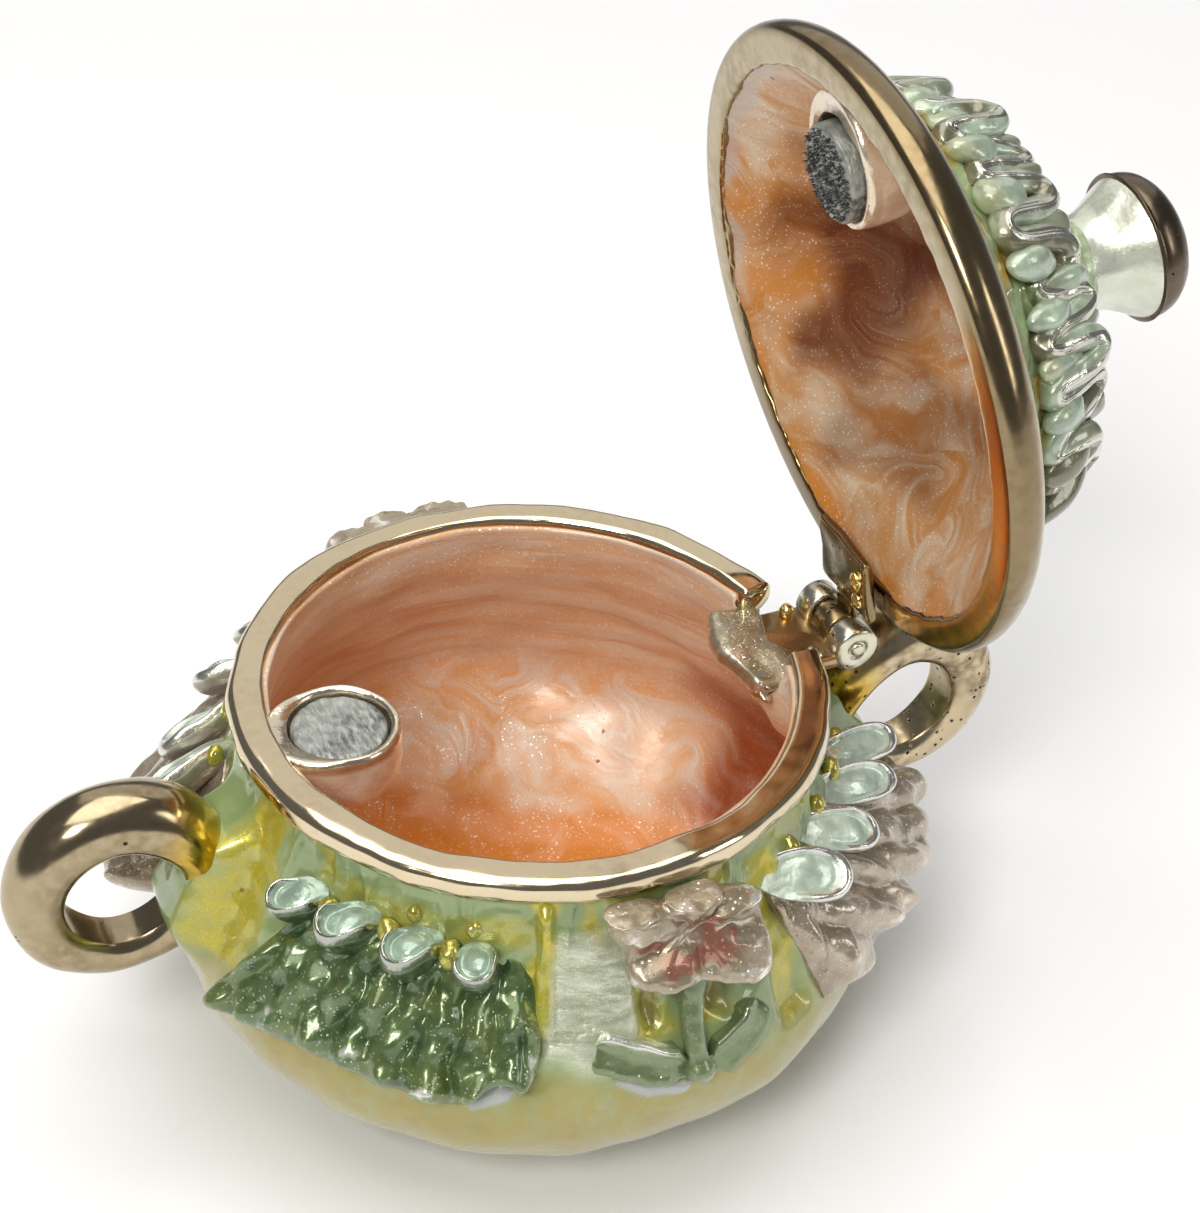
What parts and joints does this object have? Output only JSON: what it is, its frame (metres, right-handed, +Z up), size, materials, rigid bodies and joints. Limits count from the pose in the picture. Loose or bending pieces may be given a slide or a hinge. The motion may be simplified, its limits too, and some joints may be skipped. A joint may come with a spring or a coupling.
{
  "type": "sugar bowl trinket box",
  "caption": "Small enamelled box shaped like a sugar bowl, with ring handles, raised flowers and pleated fans, and a ruffled hinged lid held shut by magnets.",
  "frame": {"origin": "centre of the bowl's flat underside", "axes": "+Z up, +X through both ring handles towards the hinge, +Y across"},
  "size_m": [0.0796, 0.0486, 0.069],
  "materials": {
    "bowl_enamel": "glossy translucent enamel over a gilt casting",
    "lid_enamel": "glossy translucent enamel over a gilt casting",
    "gilt_metal": "worn gilt",
    "pin_metal": "satin",
    "magnet_plating": "dull plating with dark filings"
  },
  "bodies": {
    "bowl_body": {"bowl": "bowl_enamel", "bowl_hinge": "gilt_metal", "hinge_pin": "pin_metal", "bowl_magnet": "magnet_plating"},
    "lid_body": {"lid": "lid_enamel", "lid_hinge": "gilt_metal", "lid_magnet": "magnet_plating"}
  },
  "joints": [
    {"name": "lid_swing", "type": "hinge", "parent": "bowl_body", "child": "lid_body", "pos_m": [0.0224, 0, 0.0264], "axis": [0, 1, 0], "range_deg": [-80, 0]}
  ]
}
